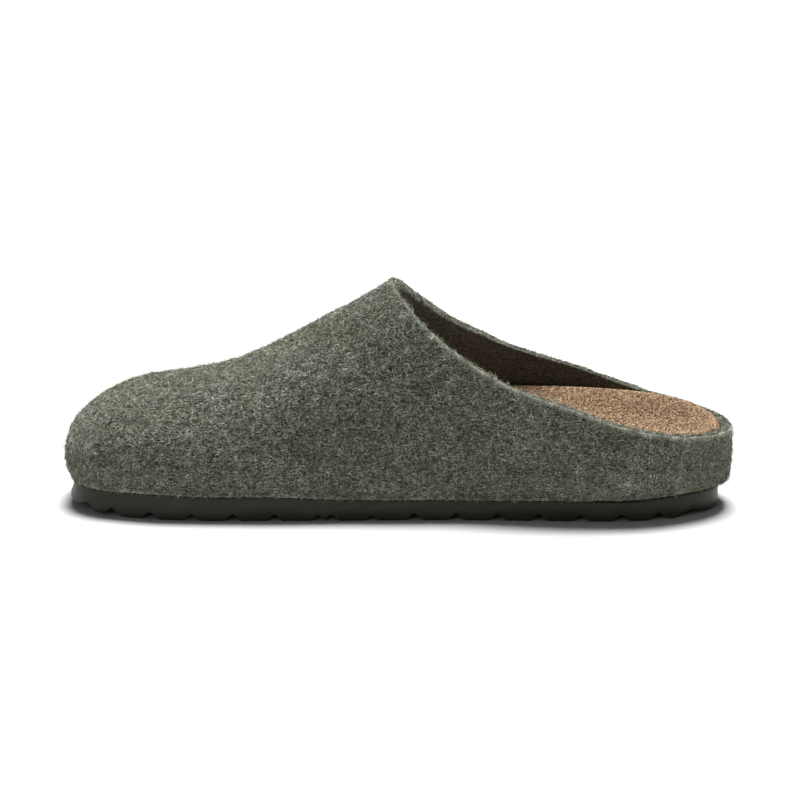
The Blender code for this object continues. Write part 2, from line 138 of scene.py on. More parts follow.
def floor_mesh():
    """One large square, a hair below the sole."""
    corners = [
        (x * FLOOR_HALF, y * FLOOR_HALF, -FLOOR_DROP)
        for x, y in ((-1, -1), (1, -1), (1, 1), (-1, 1))
    ]
    mesh = bpy.data.meshes.new("floor")
    mesh.from_pydata(corners, [], [(0, 1, 2, 3)])
    return mesh


def paper_material():
    """Matt white paper with no shine."""
    paper = bpy.data.materials.new("paper")
    paper.use_nodes = True
    shader = paper.node_tree.nodes["Principled BSDF"]
    shader.inputs["Base Color"].default_value = (PAPER_WHITE, PAPER_WHITE, PAPER_WHITE, 1.0)
    shader.inputs["Roughness"].default_value = 1.0
    shader.inputs["Specular IOR Level"].default_value = 0.0
    return paper


floor = new_object("floor", floor_mesh())
floor.data.materials.append(paper_material())
print("paper floor, m across:", 2 * FLOOR_HALF)

# %% White walls
WALL_WHITE = 1.0
WALL_LIGHT = 0.10


def white_walls():
    """A world that looks white and lights the shoe only weakly."""
    world = bpy.data.worlds.new("walls")
    world.use_nodes = True
    nodes, links = world.node_tree.nodes, world.node_tree.links
    ray = nodes.new("ShaderNodeLightPath")
    strength = nodes.new("ShaderNodeMapRange")
    strength.inputs["To Min"].default_value = WALL_LIGHT
    strength.inputs["To Max"].default_value = WALL_WHITE
    links.new(ray.outputs["Is Camera Ray"], strength.inputs["Value"])
    links.new(strength.outputs["Result"], nodes["Background"].inputs["Strength"])
    nodes["Background"].inputs["Color"].default_value = (1.0, 1.0, 1.0, 1.0)
    return world


bpy.context.scene.world = white_walls()
print("walls to look at:", WALL_WHITE, "and as a light:", WALL_LIGHT)

# %% Lamps
OVERHEAD_STRENGTH = 5.6
OVERHEAD_ANGLE = math.radians(25)
OVERHEAD_FROM = Vector((0.01, 0.25, 1.0))
FRONT_PLACE = Vector((-0.60, -1.60, 0.70))
FRONT_SIZE = 1.1
FRONT_WATTS = 2.0


def hang(name, light, place):
    """A lamp that shines towards the shoe from a place."""
    lamp = bpy.data.objects.new(name, light)
    lamp.location = place
    lamp.rotation_euler = (place - CAMERA_AIM).to_track_quat("Z", "Y").to_euler()
    bpy.context.scene.collection.objects.link(lamp)


overhead = bpy.data.lights.new("overhead", "SUN")
overhead.energy = OVERHEAD_STRENGTH
overhead.angle = OVERHEAD_ANGLE
hang("overhead", overhead, OVERHEAD_FROM)
front = bpy.data.lights.new("front", "AREA")
front.size = FRONT_SIZE
front.energy = FRONT_WATTS
hang("front", front, FRONT_PLACE)
bpy.context.scene.view_settings.view_transform = "Standard"
print("overhead lamp:", OVERHEAD_STRENGTH, "front lamp, watts:", FRONT_WATTS)

# %% [markdown]
# ## From CAD facets to soft skins
#
# The CAD solids are flat facets, a few millimetres wide. Felt and suede have no facets, so each soft
# piece starts as a copy of its solid: the loose triangles are merged, joined into quads and
# subdivided. Corners that must stay sharp, such as the hem on the outsole, get a crease weight first.
# The copy then has enough points for lumps and dents that a bump map alone couldn't show at the edge.

# %% Smooth copy of a node
MERGE = 1e-5
SHARP = math.radians(50)
SKIN_LEVELS = 2
# how far from flat, and from square, two triangles may be to become one quad, in radians
QUAD_BEND = 0.7
QUAD_SLANT = 1.2


def merged_node(node):
    """A CAD node's triangles, joined where they meet."""
    mesh = bmesh.new()
    mesh.from_mesh(frame["nodes"][node].data)
    bmesh.ops.remove_doubles(mesh, verts=mesh.verts, dist=MERGE)
    return mesh


def object_from(mesh, name):
    """An object that holds a finished bmesh."""
    data = bpy.data.meshes.new(name)
    mesh.to_mesh(data)
    mesh.free()
    return new_object(name, data)


def bake(thing):
    """Turns an object and its modifiers into a plain, smoothly shaded mesh."""
    graph = bpy.context.evaluated_depsgraph_get()
    thing.data = bpy.data.meshes.new_from_object(thing.evaluated_get(graph), depsgraph=graph)
    thing.modifiers.clear()
    thing.data.shade_smooth()
    print(thing.name, "faces:", len(thing.data.polygons))


def smooth_copy(node, name, levels):
    """A subdivided copy of a CAD node's mesh, with its sharp edges kept."""
    mesh = merged_node(node)
    bmesh.ops.join_triangles(
        mesh,
        faces=mesh.faces,
        angle_face_threshold=QUAD_BEND,
        angle_shape_threshold=QUAD_SLANT,
        cmp_seam=False,
    )
    crease = mesh.edges.layers.float.new("crease_edge")
    for edge in mesh.edges:
        if len(edge.link_faces) == 2 and edge.calc_face_angle() > SHARP:
            edge[crease] = 1.0
    thing = object_from(mesh, name)
    subdivide = thing.modifiers.new("subdivide", "SUBSURF")
    subdivide.levels = subdivide.render_levels = levels
    bake(thing)
    return thing


felt = smooth_copy("upper", "felt_skin", SKIN_LEVELS)
bed = smooth_copy("footbed", "suede_footbed", SKIN_LEVELS)

# %% [markdown]
# ## Moving points all at once
#
# Unevenness could be sculpted, or made by a Displace modifier. Here all the points of a skin are read
# into one array, moved by a formula and written back. That is quick for tens of thousands of points,
# and every push is a number that can be corrected.

# %% Points, normals and noise
def read_points(mesh):
    """The places of a mesh's points, one row each."""
    points = np.empty(len(mesh.vertices) * 3)
    mesh.vertices.foreach_get("co", points)
    return points.reshape(-1, 3)


def read_normals(mesh):
    """Which way a mesh faces at its points, one row each."""
    normals = np.empty(len(mesh.vertices) * 3)
    mesh.vertex_normals.foreach_get("vector", normals)
    return normals.reshape(-1, 3)


def write_points(mesh, points):
    """Puts a mesh's points in new places."""
    mesh.vertices.foreach_set("co", points.ravel())
    mesh.update()


SEED_STEPS = (7.31, 3.17, 5.77)


def lumps(points, size, seed):
    """Smooth noise about zero, one value per point, with lumps of a size in metres."""
    shift = Vector([seed * step for step in SEED_STEPS])
    return np.array([noise.noise(Vector(point) / size + shift) for point in points])


def soft_step(values, low, high):
    """0 below the low value, 1 above the high one and a soft slope between them."""
    share = np.clip((values - low) / (high - low), 0, 1)
    return share * share * (3 - 2 * share)


print("points of the felt and of the footbed:", len(read_points(felt.data)), len(read_points(bed.data)))

# %% [markdown]
# ## Where on the shoe
#
# Dents, fibres and colours all need to know which part of the felt a point is on. A few weights say
# so: how much a point faces out of the shoe, whether it lies on the collar's rim or on the base, and
# how near it is to the hem. They are stored on the mesh for Geometry Nodes and materials to read.

# %% Zones of the felt
RIM_DEPTH = 0.0075
RIM_LINE = 0.0018
HEM_BAND = 0.0040
SPINE_HEIGHT = 0.020
SPINE_INSET = 0.045
FACING_SOFTNESS = 0.15
BASE_FACING = -0.75
RIM_FACING = 0.1
RAY_START = 0.0003
RAY_REACH = 0.05


def store(mesh, name, values):
    """Keeps one number per point on the mesh, under a name that trees and materials can read."""
    layer = mesh.attributes.get(name) or mesh.attributes.new(name, "FLOAT", "POINT")
    layer.data.foreach_set("value", np.asarray(values, dtype=np.float32))


def facing_out(points, normals):
    """1 where the surface faces away from the middle of the shoe, 0 where it faces into it."""
    spine = np.zeros_like(points)
    spine[:, 0] = np.clip(points[:, 0], SHOE_LOW[0] + SPINE_INSET, SHOE_HIGH[0] - SPINE_INSET)
    spine[:, 2] = SPINE_HEIGHT
    reach = points - spine
    reach /= np.linalg.norm(reach, axis=1, keepdims=True)
    return soft_step(np.sum(reach * normals, axis=1), -FACING_SOFTNESS, FACING_SOFTNESS)


def depth_below(mesh, points, normals):
    """How much felt lies under each point, measured straight in."""
    tree = BVHTree.FromPolygons([Vector(p) for p in points], [tuple(f.vertices) for f in mesh.polygons])
    depth = np.empty(len(points))
    for i, (point, normal) in enumerate(zip(points, normals)):
        inward = -Vector(normal)
        hit = tree.ray_cast(Vector(point) + inward * RAY_START, inward, RAY_REACH)
        depth[i] = RAY_REACH if hit[0] is None else hit[3]
    return depth


def nearness(points, chosen, band):
    """1 on the chosen points, falling softly to 0 at a distance from them."""
    tree = KDTree(int(chosen.sum()))
    for i in np.flatnonzero(chosen):
        tree.insert(Vector(points[i]), int(i))
    tree.balance()
    distance = np.array([tree.find(Vector(point))[2] for point in points])
    return 1 - soft_step(distance, 0.0, band)


points, normals = read_points(felt.data), read_normals(felt.data)
outside = facing_out(points, normals)
on_base = normals[:, 2] < BASE_FACING
deep = depth_below(felt.data, points, normals) > RIM_DEPTH
on_rim = deep & (normals[:, 2] > RIM_FACING) & ~on_base
near_hem = nearness(points, on_base, HEM_BAND)
print("rim points:", int(on_rim.sum()), "base points:", int(on_base.sum()))

# %% [markdown]
# ## Lumps and dents
#
# Felt is pressed wool, so its surface is never even: it swells and dips by a few tenths of a
# millimetre over every size from a lentil to a walnut. Noise gives that unevenness. The few dents that
# a hand or the last would leave are placed one by one, as soft troughs along short lines.

# %% Sizes of lumps and dents
LUMPS = (
    # size of a lump, height, seed
    (0.0280, 0.00050, 1),
    (0.0110, 0.00034, 2),
    (0.0050, 0.00022, 3),
    (0.0026, 0.00012, 4),
)
INSIDE_SHARE = 0.25
HEM_OVERHANG = 0.0006
HEM_WAVE = 0.9
HEM_WAVE_LENGTH = 0.0045
HEM_WAVE_SEED = 5
HEM_CALM_FROM = 0.55
HEM_CALM_AT = 0.95
# share of the nap cleared from the painted highlight along the collar's outer edge
HIGHLIGHT_CLEARANCE = 0.8
TROUGHS = (
    # a line of places as shares of the shoe, then the trough's width and depth in metres
    # where the toes bend, over the top
    (((0.33, -0.55, 0.50), (0.36, -0.10, 0.62), (0.34, 0.45, 0.52)), 0.0080, 0.00045),
    # soft fold down from the instep, outer and inner side
    (((0.45, 0.62, 0.60), (0.40, 0.86, 0.30)), 0.0090, 0.00040),
    (((0.47, -0.60, 0.62), (0.43, -0.88, 0.28)), 0.0090, 0.00035),
    # hollow of the waist on the inner side
    (((0.62, -0.80, 0.20), (0.72, -0.78, 0.22)), 0.0120, 0.00050),
    # above the toe cap, where the wool was stretched
    (((0.12, -0.30, 0.42), (0.14, 0.20, 0.43)), 0.0100, -0.00040),
    # pressed flats on the heel's sides
    (((0.88, -0.70, 0.22), (0.95, -0.40, 0.22)), 0.0080, 0.00035),
    (((0.86, 0.72, 0.22), (0.93, 0.45, 0.22)), 0.0090, 0.00030),
)
print("sizes of lumps:", len(LUMPS), "dents placed by hand:", len(TROUGHS))

# %% Displace the felt
def distance_to_line(points, line):
    """Distance from each point to a line of straight stretches."""
    best = np.full(len(points), np.inf)
    for start, end in zip(line, line[1:]):
        run = end - start
        share = np.clip((points - start) @ run / (run @ run), 0, 1)
        best = np.minimum(best, np.linalg.norm(points - start - share[:, None] * run, axis=1))
    return best


def shoe_place(shares):
    """A place from shares of the shoe: along from the toe, across from the middle, and up."""
    along, across, up = shares
    return np.array([
        SHOE_LOW[0] + along * SHOE_SIZE[0],
        across * SHOE_SIZE[1] / 2,
        up * SHOE_SIZE[2],
    ])


swell = np.zeros(len(points))
for size, height, seed in LUMPS:
    swell += height * lumps(points, size, seed)
for line, width, depth in TROUGHS:
    path = np.array([shoe_place(shares) for shares in line])
    swell -= depth * np.exp(-(distance_to_line(points, path) / width) ** 2)
share = INSIDE_SHARE + (1 - INSIDE_SHARE) * outside
share *= 1 - soft_step(near_hem, HEM_CALM_FROM, HEM_CALM_AT)
points += normals * (swell * share)[:, None]
wave = HEM_WAVE * lumps(points, HEM_WAVE_LENGTH, HEM_WAVE_SEED)
over = HEM_OVERHANG * near_hem * outside * (1 + wave)
sideways = normals * (1.0, 1.0, 0.0)
points += sideways * over[:, None]
write_points(felt.data, points)
store(felt.data, "outside", outside)
rim = nearness(points, on_rim, RIM_LINE)
store(felt.data, "rim", rim)
# painted highlight: a band on the outer wall just under the rim, where the collar's edge catches the
# light
collar_line = rim * outside * (1 - on_rim)
store(felt.data, "collar_line", collar_line)
store(felt.data, "nap", outside * (1 - on_base) * (1 - HIGHLIGHT_CLEARANCE * collar_line))
store(felt.data, "hem_edge", near_hem * outside * (1 - on_base))
print("felt moved by up to, mm:", round(float(np.abs(swell * share).max() * 1000), 2))

# %% [markdown]
# ## Node trees in plain words
#
# A material or a Geometry Nodes tree is a chain of small nodes. Clicked together by hand it is quick
# to try out, but hard to read later. So one helper adds a node, sets it up and fills its inputs in
# one line, and both kinds of tree share it.

# %% Chain of nodes
class Chain:
    """Adds nodes to a tree and joins them."""

    def __init__(self, tree):
        self.nodes, self.links = tree.nodes, tree.links

    def add(self, kind, values=(), **settings):
        """A node with its settings, and its inputs given as (socket, number or other socket)."""
        node = self.nodes.new(kind)
        for key, value in settings.items():
            setattr(node, key, value)
        for socket, value in values:
            if isinstance(value, bpy.types.NodeSocket):
                self.links.new(value, node.inputs[socket])
            else:
                node.inputs[socket].default_value = value
        return node

    def math(self, operation, a, b):
        """One operation on two numbers, each of them given or from a socket."""
        return self.add("ShaderNodeMath", [(0, a), (1, b)], operation=operation).outputs[0]


print("helper made: Chain, with add and math")

# %% [markdown]
# ## Materials in plain words
#
# On top of the chain, a material needs noise, colour ramps and bumps, over and over. Each gets a
# short method. The patterns read Object coordinates, in metres, so a scale of 1000 means one lump of
# noise to a millimetre, and they don't depend on how a piece is cut into faces.

# %% Material helpers
class Recipe(Chain):
    """A material's node tree, built from the shader outwards."""

    def __init__(self, name):
        self.material = bpy.data.materials.new(name)
        self.material.use_nodes = True
        super().__init__(self.material.node_tree)
        self.shader = self.nodes["Principled BSDF"]
        self.place = self.nodes.new("ShaderNodeTexCoord").outputs["Object"]

    def noise(self, per_metre, detail=2.0, roughness=0.55, place=None, distortion=0.0):
        """Cloudy values about a half, with so many lumps to a metre."""
        values = [("Vector", place or self.place), ("Scale", per_metre), ("Detail", detail)]
        values += [("Roughness", roughness), ("Distortion", distortion)]
        return self.add("ShaderNodeTexNoise", values).outputs["Fac"]

    def turned(self, angles, stretch):
        """Object coordinates turned and stretched, for streaks of fibre."""
        values = [("Vector", self.place), ("Rotation", angles), ("Scale", stretch)]
        return self.add("ShaderNodeMapping", values).outputs["Vector"]

    def ramp(self, factor, *stops):
        """A colour ramp with (place, colour) stops."""
        node = self.add("ShaderNodeValToRGB", [("Fac", factor)])
        ramp = node.color_ramp
        while len(ramp.elements) < len(stops):
            ramp.elements.new(0.5)
        for element, (place, colour) in zip(ramp.elements, stops):
            element.position = place
            element.color = (*colour, 1.0)
        return node.outputs["Color"]

    def levels(self, factor, low, high, to_low=0.0, to_high=1.0):
        """A factor stretched from one range to another, and held within it."""
        values = [("Value", factor), ("From Min", low), ("From Max", high)]
        values += [("To Min", to_low), ("To Max", to_high)]
        return self.add("ShaderNodeMapRange", values).outputs["Result"]

    def mix(self, factor, a, b, blend="MIX"):
        """Two colours mixed, or one laid over the other by a blend."""
        node = self.nodes.new("ShaderNodeMix")
        node.data_type, node.blend_type = "RGBA", blend
        sockets = {"Factor_Float": factor, "A_Color": a, "B_Color": b}
        for socket in node.inputs:
            value = sockets.get(socket.identifier)
            if value is None:
                continue
            if isinstance(value, bpy.types.NodeSocket):
                self.links.new(value, socket)
            else:
                socket.default_value = value if isinstance(value, float) else (*value, 1.0)
        return next(s for s in node.outputs if s.identifier == "Result_Color")

    def attribute(self, name):
        """A number that is stored on the mesh."""
        return self.add("ShaderNodeAttribute", attribute_name=name).outputs["Fac"]

    def bump(self, height, distance, strength=1.0, under=None):
        """A bumped normal, over another bump where there is one under it."""
        values = [("Height", height), ("Distance", distance), ("Strength", strength)]
        if under is not None:
            values.append(("Normal", under))
        return self.add("ShaderNodeBump", values).outputs["Normal"]

    def finish(self, colour, normal, roughness, **constants):
        """Joins colour and bump to the shader, and sets what is the same all over on its sockets."""
        self.links.new(colour, self.shader.inputs["Base Color"])
        self.links.new(normal, self.shader.inputs["Normal"])
        if isinstance(roughness, bpy.types.NodeSocket):
            self.links.new(roughness, self.shader.inputs["Roughness"])
        else:
            self.shader.inputs["Roughness"].default_value = roughness
        for name, value in constants.items():
            self.shader.inputs[name.replace("_", " ")].default_value = value
        return self.material


def dress(thing, material):
    """Gives a piece its one material."""
    thing.data.materials.clear()
    thing.data.materials.append(material)
    print(thing.name, "wears:", material.name)


print("helper made: Recipe, with noise, turned, ramp, levels, mix, attribute, bump and finish")

# %% [markdown]
# ## Wool felt
#
# Close up, the felt is pale fibres lying every way over darker wool, with green, grey and straw mixed
# in before it was felted. The colour is built the same way: slow mottling the size of a
# fingertip, then blotches of a few millimetres, then a grain of short streaks in several directions.
# The streaks also drive the bump. The real fibres that lie on top come in the next step.

# %% Colours and grain of the felt
STREAKS = (
    # how far it is turned about x, y and z, then lumps per metre along and across the streak
    ((0.0, 0.3, 0.0), 520.0, 2600.0),
    ((0.2, 1.2, 0.4), 480.0, 2500.0),
    ((-0.3, -0.8, -0.5), 540.0, 2700.0),
    ((0.5, 2.0, 1.3), 500.0, 2600.0),
)
WOOL = (
    (0.00, (0.0065, 0.0085, 0.0040)),
    (0.24, (0.039, 0.046, 0.027)),
    (0.53, (0.182, 0.197, 0.146)),
    (1.00, (0.690, 0.715, 0.630)),
)
WISPS = (
    # pale tufts that were drawn out while the wool was pressed, turned and sized like the streaks
    ((0.0, 0.15, 0.0), 85.0, 420.0),
    ((0.4, -0.55, 0.6), 95.0, 380.0),
)
WISP_SHARE = 0.26
STREAK_LEVELS = (0.48, 0.72)
WISP_LEVELS = (0.56, 0.74)
GRAIN_LEVELS = (0.34, 0.68)
GRAIN_PER_METRE = 1750.0
BLOTCHES_PER_METRE = 290.0
CLOUDS_PER_METRE = 62.0
# painted shade: wool facing into the shoe is painted darker and browner, for shade and suede bounce
INSIDE_SHADE_WOOL = ((0.0, (0.011, 0.009, 0.007)), (1.0, (0.100, 0.082, 0.060)))
# painted highlight: the rim's wool is a flatter grey-green with lighter darks, for fibres catching the
# light
RIM_HIGHLIGHT_WOOL = ((0.0, (0.030, 0.034, 0.025)), (1.0, (0.250, 0.262, 0.215)))
# painted highlight: the pale colour of the line along the collar's outer edge
COLLAR_HIGHLIGHT_COLOUR = (0.740, 0.750, 0.640)
BLOTCH_SHADES = ((0.32, (0.56, 0.57, 0.56)), (0.68, (1.18, 1.18, 1.20)))
CLOUD_TINTS = ((0.36, (0.78, 0.84, 0.70)), (0.64, (1.14, 1.12, 1.12)))
BLOTCH_HEIGHT = 0.0008
GRAIN_HEIGHT = 0.0006
print("felt streaks:", len(STREAKS), "wisps:", len(WISPS), "wool tones:", len(WOOL))

# %% Felt material
def strokes(recipe, rows, low, high, **noise_settings):
    """The palest of several stretched noises, each turned its own way."""
    palest = None
    for angles, along, across in rows:
        place = recipe.turned(angles, (along, across, across))
        stroke = recipe.levels(recipe.noise(1.0, place=place, **noise_settings), low, high)
        palest = stroke if palest is None else recipe.math("MAXIMUM", palest, stroke)
    return palest


def felt_material():
    """Wool with painted shade inside the shoe and painted highlights on the collar's rim and outer edge.
    """
    recipe = Recipe("wool_felt")
    streaks = strokes(recipe, STREAKS, *STREAK_LEVELS, detail=1.0)
    grain = recipe.levels(recipe.noise(GRAIN_PER_METRE, detail=2.0, roughness=0.6), *GRAIN_LEVELS)
    blotch = recipe.noise(BLOTCHES_PER_METRE, detail=2.5, roughness=0.6)
    cloud = recipe.noise(CLOUDS_PER_METRE, detail=2.0)
    wisps = strokes(recipe, WISPS, *WISP_LEVELS, detail=3.0, roughness=0.65)
    height = recipe.math("MULTIPLY", recipe.math("ADD", streaks, 0.25), recipe.math("ADD", grain, 0.15))
    height = recipe.math("ADD", height, recipe.math("MULTIPLY", wisps, WISP_SHARE))
    wool = recipe.ramp(height, *WOOL)
    patch = recipe.ramp(blotch, *BLOTCH_SHADES)
    wool = recipe.mix(1.0, wool, patch, "MULTIPLY")
    tint = recipe.ramp(cloud, *CLOUD_TINTS)
    wool = recipe.mix(1.0, wool, tint, "MULTIPLY")
    # painted shade inside the shoe, mixed in where the felt faces inward
    inside_shade = recipe.ramp(height, *INSIDE_SHADE_WOOL)
    colour = recipe.mix(recipe.levels(recipe.attribute("outside"), 0.2, 0.6), inside_shade, wool)
    # painted highlight on the collar's rim
    rim = recipe.ramp(height, *RIM_HIGHLIGHT_WOOL)
    colour = recipe.mix(recipe.levels(recipe.attribute("rim"), 0.3, 0.9, 0.0, 0.7), colour, rim)
    # painted highlight along the collar's outer edge, broken up by the grain
    broken = recipe.levels(grain, 0.0, 1.0, 0.3, 1.0)
    line = recipe.math("MULTIPLY", recipe.attribute("collar_line"), broken)
    colour = recipe.mix(line, colour, COLLAR_HIGHLIGHT_COLOUR)
    normal = recipe.bump(blotch, BLOTCH_HEIGHT, 0.35)
    normal = recipe.bump(height, GRAIN_HEIGHT, 0.9, under=normal)
    return recipe.finish(
        colour, normal, 0.95, Specular_IOR_Level=0.12, Sheen_Weight=0.70, Sheen_Roughness=0.46,
        Sheen_Tint=(0.80, 0.82, 0.70, 1.0),
    )


dress(felt, felt_material())

# %% [markdown]
# ## Loose fibres
#
# Tens of thousands of short hairs stand and lie on the felt. Hair curves would make them too, but
# they are lost when a model is exported. So one Geometry Nodes tree scatters points on a skin, sets a
# short bent strand on each and turns it at random, and the result is kept as a plain mesh. The tree
# has named inputs, so the same one serves the nap, the fuzz, the collar, the hem and the suede.

# %% Tree with named inputs
class TreeRecipe(Chain):
    """A Geometry Nodes tree, built with few words."""

    def __init__(self, name):
        self.tree = bpy.data.node_groups.new(name, "GeometryNodeTree")
        super().__init__(self.tree)
        self.ids = {}

    def input(self, name, kind, value=None):
        """A named input, whose identifier is kept for the modifier."""
        socket = self.tree.interface.new_socket(name=name, in_out="INPUT", socket_type=kind)
        if value is not None:
            socket.default_value = value
        self.ids[name] = socket.identifier

    def start(self):
        """Adds the tree's two ends, once all its inputs are named."""
        self.tree.interface.new_socket(name="Mesh", in_out="OUTPUT", socket_type="NodeSocketGeometry")
        self.given = self.nodes.new("NodeGroupInput").outputs
        self.result = self.nodes.new("NodeGroupOutput").inputs[0]


print("helper made: TreeRecipe, with input and start")

# %% [markdown]
# ## One strand
#
# A single hair is drawn as a bent curve one unit long, cut down to three points, and a three-sided
# profile is swept along it. The profile shrinks to nothing at both ends, where its corners are merged,
# so a strand is a closed spindle of only six triangles. Three different bends are enough, because
# every copy is turned and scaled by chance.

# %% Bends of a strand
STRAND_BENDS = (
    # start, middle and end of a strand one unit long, which lies on the surface
    ((-0.50, 0.00, 0.00), (0.05, 0.42, 0.10), (0.46, -0.05, 0.04)),
    ((-0.46, 0.10, 0.02), (-0.10, -0.34, 0.16), (0.48, 0.12, 0.00)),
    ((-0.42, -0.12, 0.00), (0.20, 0.10, 0.22), (0.38, 0.30, 0.08)),
)
STRAND_POINTS = 3
STRAND_SIDES = 3
BEND_STEPS = 12
STRAND_FULLNESS = 5.0
TIP_MERGE = 0.0005


def strand_kinds(recipe, radius, length):
    """One closed spindle for each bend, as instances to pick from."""
    width = recipe.math("DIVIDE", radius, length)
    profile = recipe.add(
        "GeometryNodeCurvePrimitiveCircle", [("Resolution", STRAND_SIDES), ("Radius", 1.0)]
    )
    along = recipe.add("GeometryNodeSplineParameter").outputs["Factor"]
    bulge = recipe.math("MULTIPLY", along, recipe.math("SUBTRACT", 1.0, along))
    taper = recipe.math("MULTIPLY", bulge, STRAND_FULLNESS)
    thick = recipe.math("MULTIPLY", taper, width)
    kinds = recipe.add("GeometryNodeJoinGeometry")
    for start, middle, end in STRAND_BENDS:
        curve = recipe.add(
            "GeometryNodeCurveQuadraticBezier",
            [("Resolution", BEND_STEPS), ("Start", start), ("Middle", middle), ("End", end)],
        )
        few = recipe.add(
            "GeometryNodeResampleCurve", [("Curve", curve.outputs[0]), ("Count", STRAND_POINTS)]
        )
        tube = recipe.add(
            "GeometryNodeCurveToMesh",
            [("Curve", few.outputs[0]), ("Profile Curve", profile.outputs[0]), ("Scale", thick)],
        )
        closed = recipe.add(
            "GeometryNodeMergeByDistance", [("Geometry", tube.outputs[0]), ("Distance", TIP_MERGE)]
        )
        single = recipe.add("GeometryNodeGeometryToInstance", [("Geometry", closed.outputs[0])])
        recipe.links.new(single.outputs[0], kinds.inputs[0])
    return kinds.outputs[0]


print("bends of a strand:", len(STRAND_BENDS), "triangles each:", 2 * STRAND_SIDES * (STRAND_POINTS - 2))

# %% [markdown]
# ## Chance
#
# No two hairs lie alike. Each is spun about the skin's normal, leant by up to its lift, made up to
# nearly half as long again or as short, and given one of the bends and a tone. All of it comes from
# Random Value nodes with a fixed seed, so that the same script always grows the same hairs.

# %% Random turn, size, bend and tone
STRAND_SCALE_LOW = 0.55
STRAND_SCALE_HIGH = 1.45
TONE_SEED_STEP = 7.0


def strand_turn(recipe, upright, lift, seed):
    """A strand's rotation: spun about the normal, and leant by up to its lift."""
    lift_down = recipe.math("MULTIPLY", lift, -1.0)
    low = recipe.add("ShaderNodeCombineXYZ", [("X", lift_down), ("Y", lift_down), ("Z", 0.0)])
    high = recipe.add("ShaderNodeCombineXYZ", [("X", lift), ("Y", lift), ("Z", math.tau)])
    lean = recipe.add(
        "FunctionNodeRandomValue",
        [("Min", low.outputs[0]), ("Max", high.outputs[0]), ("Seed", seed)],
        data_type="FLOAT_VECTOR",
    )
    spin = recipe.add("FunctionNodeEulerToRotation", [("Euler", lean.outputs[0])])
    turn = recipe.add(
        "FunctionNodeRotateRotation",
        [("Rotation", upright), ("Rotate By", spin.outputs[0])],
        rotation_space="LOCAL",
    )
    return turn.outputs[0]


def strand_scale(recipe, length):
    """A strand's length, some shorter and some longer than asked for."""
    size = recipe.add(
        "FunctionNodeRandomValue",
        [("Min", STRAND_SCALE_LOW), ("Max", STRAND_SCALE_HIGH)],
        data_type="FLOAT",
    )
    return recipe.math("MULTIPLY", size.outputs[1], length)


def strand_pick(recipe):
    """The number of one of the bends."""
    kind = recipe.add("FunctionNodeRandomValue", data_type="INT")
    for socket in kind.inputs:
        if socket.enabled and socket.name == "Max":
            socket.default_value = len(STRAND_BENDS) - 1
        if socket.enabled and socket.name == "Min":
            socket.default_value = 0
    return kind.outputs[2]


def strand_tone(recipe, seed):
    """A number from 0 to 1 for a strand's colour."""
    tone_seed = recipe.math("ADD", seed, TONE_SEED_STEP)
    tone = recipe.add("FunctionNodeRandomValue", [("Seed", tone_seed)], data_type="FLOAT")
    return tone.outputs[1]


print("strand scale from", STRAND_SCALE_LOW, "to", STRAND_SCALE_HIGH)

# %% [markdown]
# ## The whole tree
#
# The tree reads from top to bottom: points on the skin, as dense as the zone allows, a strand on each
# point, lifted a little off the skin, given its tone, made real and given its material. The tone is
# stored once for each strand, and a material's colour ramp reads it.

# %% Strand tree
def strand_tree():
    """A tree that covers a mesh with bent strands and gives back the strands alone."""
    recipe = TreeRecipe("strands")
    recipe.input("Skin", "NodeSocketGeometry")
    recipe.input("Zone", "NodeSocketString", "nap")
    recipe.input("Strands per square metre", "NodeSocketFloat", 1e6)
    recipe.input("Length", "NodeSocketFloat", 0.002)
    recipe.input("Radius", "NodeSocketFloat", 0.00006)
    recipe.input("Lift", "NodeSocketFloat", 0.2)
    recipe.input("Rise", "NodeSocketFloat", 0.0001)
    recipe.input("Seed", "NodeSocketInt", 1)
    recipe.input("Finish", "NodeSocketMaterial")
    recipe.start()
    given = recipe.given
    zone = recipe.add("GeometryNodeInputNamedAttribute", [("Name", given["Zone"])], data_type="FLOAT")
    density = recipe.math("MULTIPLY", given["Strands per square metre"], zone.outputs["Attribute"])
    spots = recipe.add(
        "GeometryNodeDistributePointsOnFaces",
        [("Mesh", given["Skin"]), ("Density", density), ("Seed", given["Seed"])],
        distribute_method="RANDOM",
    )
    set_down = recipe.add(
        "GeometryNodeInstanceOnPoints",
        [
            ("Points", spots.outputs["Points"]),
            ("Instance", strand_kinds(recipe, given["Radius"], given["Length"])),
            ("Instance Index", strand_pick(recipe)),
            ("Rotation", strand_turn(recipe, spots.outputs["Rotation"], given["Lift"], given["Seed"])),
            ("Scale", strand_scale(recipe, given["Length"])),
        ],
    )
    set_down.inputs["Pick Instance"].default_value = True
    raised = recipe.add("ShaderNodeCombineXYZ", [("Z", given["Rise"])])
    lifted = recipe.add(
        "GeometryNodeTranslateInstances",
        [("Instances", set_down.outputs[0]), ("Translation", raised.outputs[0])],
    )
    toned = recipe.add(
        "GeometryNodeStoreNamedAttribute",
        [
            ("Geometry", lifted.outputs[0]),
            ("Name", "tone"),
            ("Value", strand_tone(recipe, given["Seed"])),
        ],
        data_type="FLOAT",
        domain="INSTANCE",
    )
    real = recipe.add("GeometryNodeRealizeInstances", [("Geometry", toned.outputs[0])])
    smooth = recipe.add("GeometryNodeSetShadeSmooth", [("Geometry", real.outputs[0])])
    painted = recipe.add(
        "GeometryNodeSetMaterial", [("Geometry", smooth.outputs[0]), ("Material", given["Finish"])]
    )
    recipe.links.new(painted.outputs[0], recipe.result)
    return recipe


strands = strand_tree()
print("strand tree nodes:", len(strands.nodes), "inputs:", list(strands.ids))

